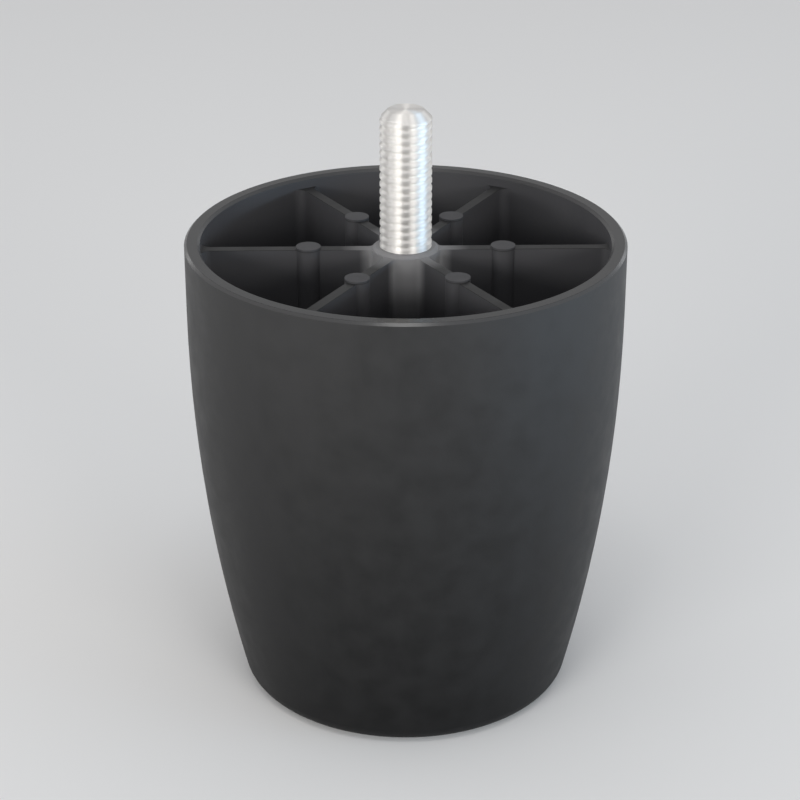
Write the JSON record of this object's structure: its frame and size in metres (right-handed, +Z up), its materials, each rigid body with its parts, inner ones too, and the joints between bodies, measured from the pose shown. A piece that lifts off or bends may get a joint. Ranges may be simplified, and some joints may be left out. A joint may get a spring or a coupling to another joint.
{
  "type": "furniture leg",
  "caption": "Tapered round plastic sofa leg, open at the top with radial ribs inside, moulded round an upright steel stud that screws into the frame above.",
  "frame": {"origin": "centre of the foot, on the floor", "axes": "+Z up along the stud; the ribs stand at 0, 60 and 120 degrees from +X"},
  "size_m": [0.068, 0.068, 0.0955],
  "materials": {
    "black_plastic": "fine matt, as moulded",
    "zinc_steel": "bright zinc plate"
  },
  "bodies": {
    "root": {"leg_body": "black_plastic", "threaded_stud": "zinc_steel"}
  },
  "joints": []
}
